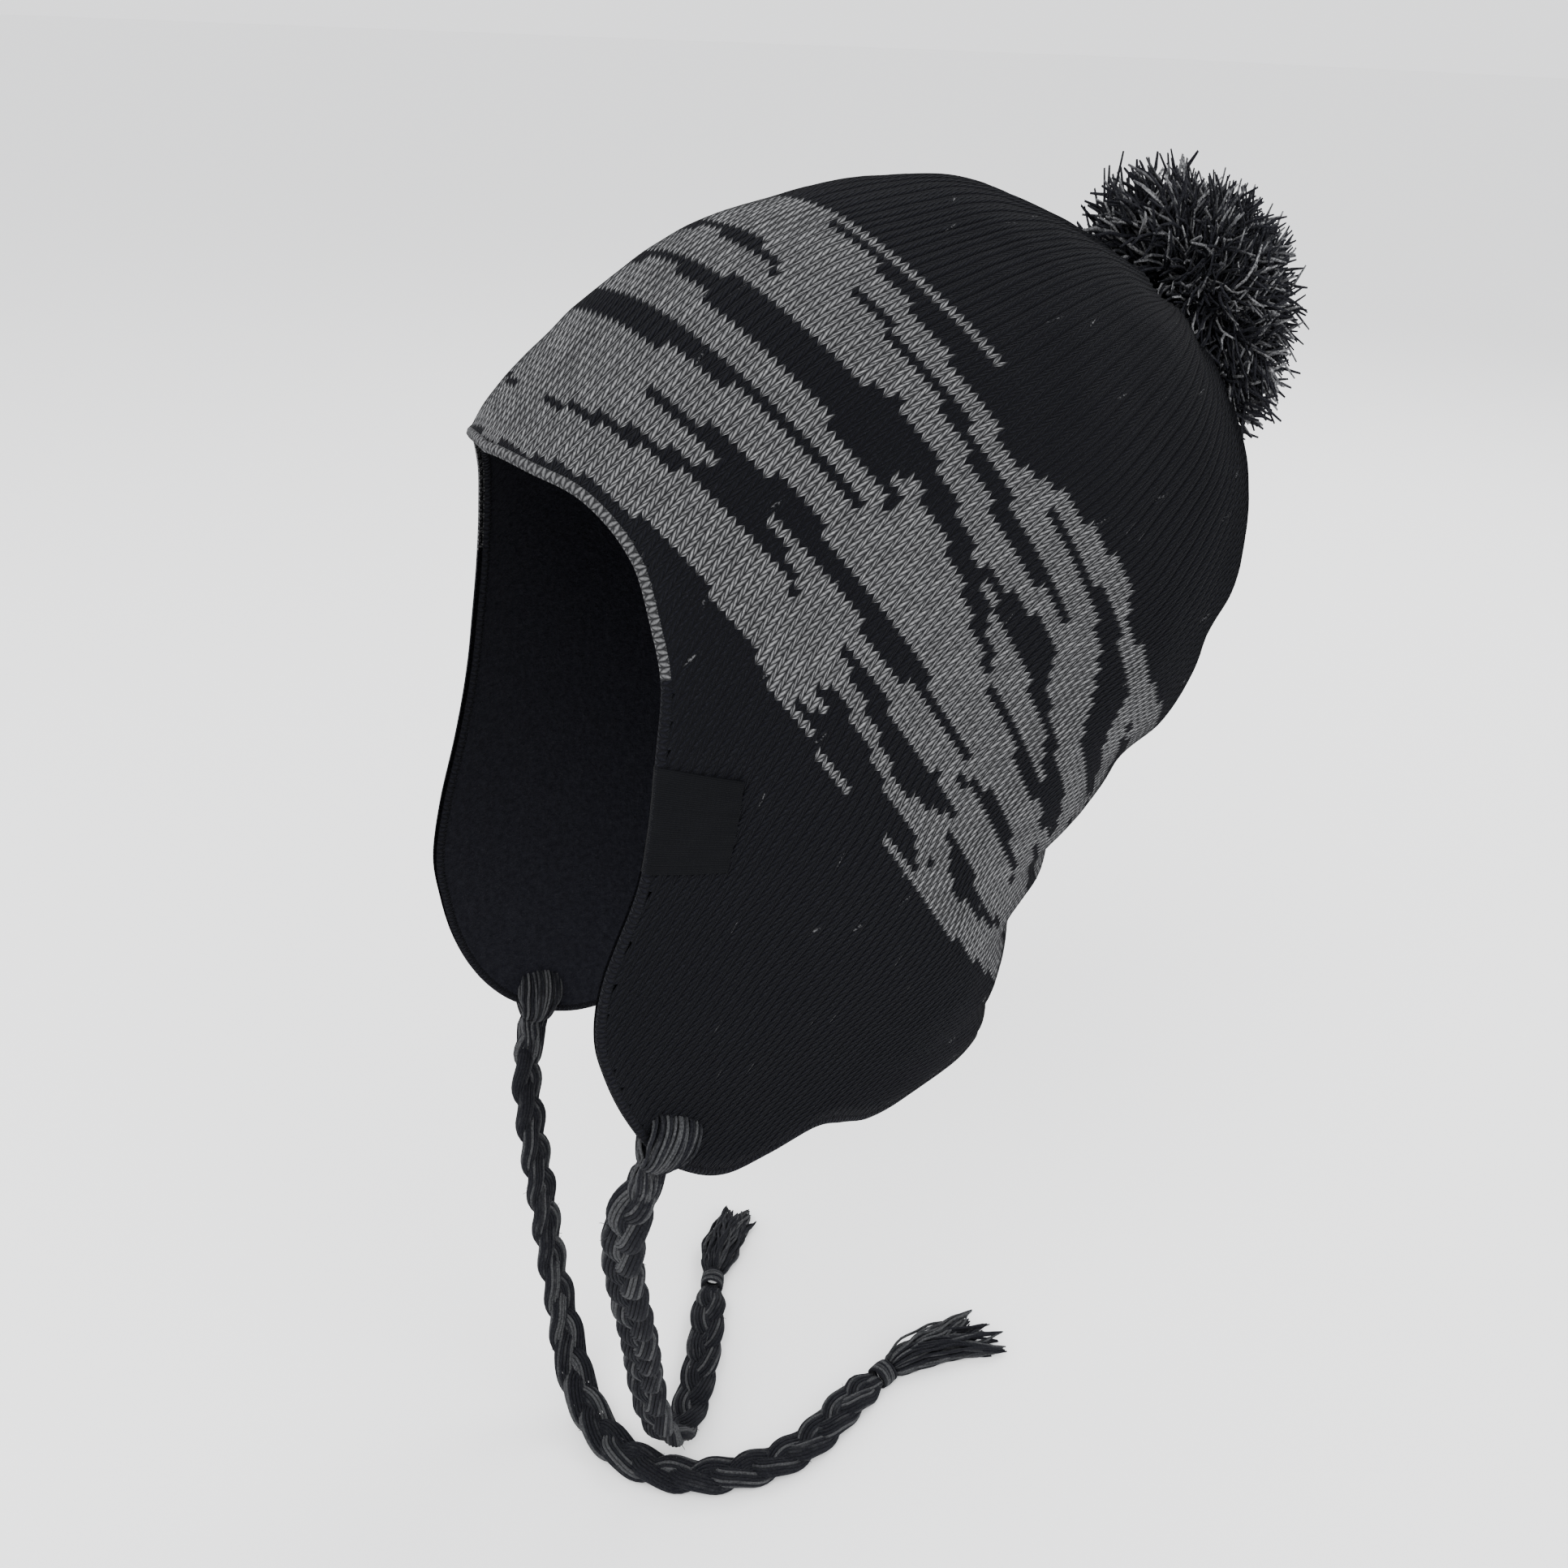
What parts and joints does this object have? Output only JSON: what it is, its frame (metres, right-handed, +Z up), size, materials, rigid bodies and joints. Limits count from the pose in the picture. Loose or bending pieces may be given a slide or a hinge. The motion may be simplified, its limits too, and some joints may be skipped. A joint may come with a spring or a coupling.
{
  "type": "earflap beanie",
  "caption": "Knitted winter hat with earflaps, a shaggy pompom at its tip, and a loop, a braided tie, a binding and a tassel hanging from each flap.",
  "frame": {"origin": "inside the crown, where the top of the wearer's head meets it", "axes": "+Z up as worn, the wearer faces -Y and the wearer's left is +X"},
  "size_m": [0.175, 0.2795, 0.4472],
  "materials": {
    "body_yarn": "jacquard knit of black yarn with heather grey streaks, dull and slightly fuzzy",
    "pompom_yarn": "shaggy crimped yarn, black mixed with grey",
    "tie_yarn": "braided yarn, black and dark grey mixed, fuzzy",
    "label_cloth": "tight dark woven ribbon, bare"
  },
  "bodies": {
    "root": {"knit_body": "body_yarn", "pompom": "pompom_yarn", "side_label": "label_cloth", "left_tie_loop": "tie_yarn", "left_tie_braid": "tie_yarn", "left_tie_binding": "tie_yarn", "left_tie_tassel": "tie_yarn", "right_tie_loop": "tie_yarn", "right_tie_braid": "tie_yarn", "right_tie_binding": "tie_yarn", "right_tie_tassel": "tie_yarn"}
  },
  "joints": []
}
